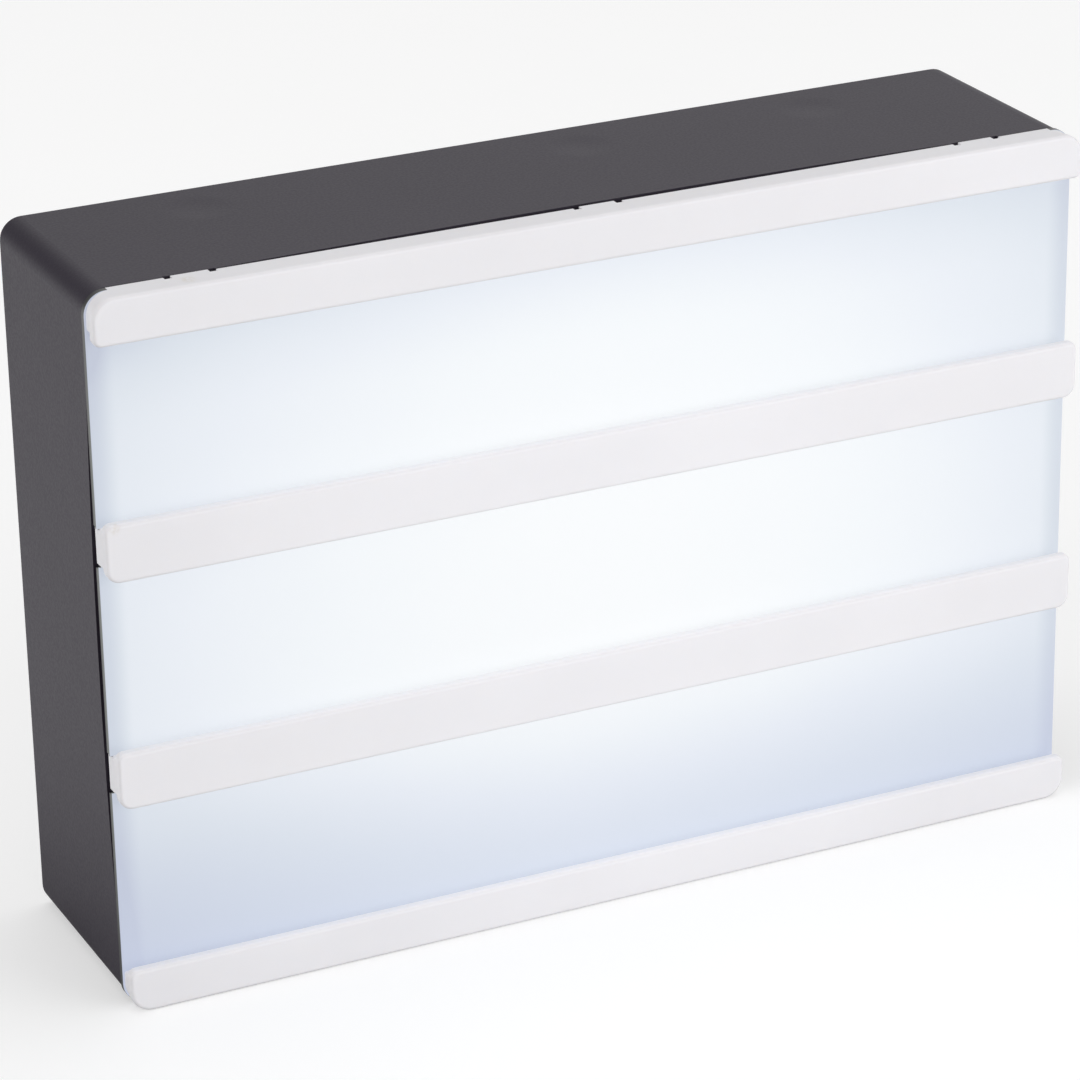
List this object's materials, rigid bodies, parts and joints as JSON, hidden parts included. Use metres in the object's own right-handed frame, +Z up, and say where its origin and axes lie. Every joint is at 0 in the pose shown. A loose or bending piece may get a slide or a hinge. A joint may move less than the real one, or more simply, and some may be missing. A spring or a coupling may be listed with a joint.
{
  "type": "cinema light box",
  "caption": "Small black box with a glowing opal front panel, white T-section rails for rows of letter cards, and a battery bay and slide switch on its back.",
  "frame": {"origin": "middle of the footprint, on the surface the box stands on", "axes": "+X to the right seen from the front, +Y from the letter rails to the back, +Z up"},
  "size_m": [0.1508, 0.038, 0.1053],
  "materials": {
    "black_abs": "fine spark-eroded texture",
    "opal_diffuser": "translucent, satin",
    "rail_white": "satin",
    "tray_white": "matt",
    "board_white": "solder mask",
    "led_phosphor": "clear resin over phosphor",
    "resistor_black": "ceramic chip",
    "cell_sleeve": "printed sleeve, left bare",
    "contact_steel": "nickel plated",
    "switch_metal": "tinned",
    "knob_black": "satin",
    "wire_red": "insulation",
    "wire_white": "insulation",
    "wire_black": "insulation",
    "screw_steel": "zinc plated"
  },
  "bodies": {
    "root": {"rear_housing": "black_abs", "front_panel": "opal_diffuser", "top_rail": "rail_white", "upper_rail": "rail_white", "lower_rail": "rail_white", "bottom_rail": "rail_white", "reflector_tray": "tray_white", "led_board": "board_white", "leds": "led_phosphor", "resistors": "resistor_black", "battery_1": "cell_sleeve", "battery_2": "cell_sleeve", "battery_3": "cell_sleeve", "positive_contact": "contact_steel", "negative_contact": "contact_steel", "left_bridge": "contact_steel", "right_bridge": "contact_steel", "contact_springs": "contact_steel", "switch_body": "switch_metal", "switch_terminals": "contact_steel", "positive_wire": "wire_red", "switch_wire": "wire_white", "negative_wire": "wire_black", "board_screws": "screw_steel", "tray_screws": "screw_steel", "switch_screws": "screw_steel"},
    "battery_door": {"battery_door": "black_abs"},
    "switch_knob": {"switch_knob": "knob_black"}
  },
  "joints": [
    {"name": "door_hinge", "type": "hinge", "parent": "root", "child": "battery_door", "pos_m": [0, 0.01815, 0.0079], "axis": [-1, 0, 0], "range_deg": [0, 75]},
    {"name": "switch_slide", "type": "slide", "parent": "root", "child": "switch_knob", "axis": [-1, 0, 0], "range_m": [0, 0.0036]}
  ]
}
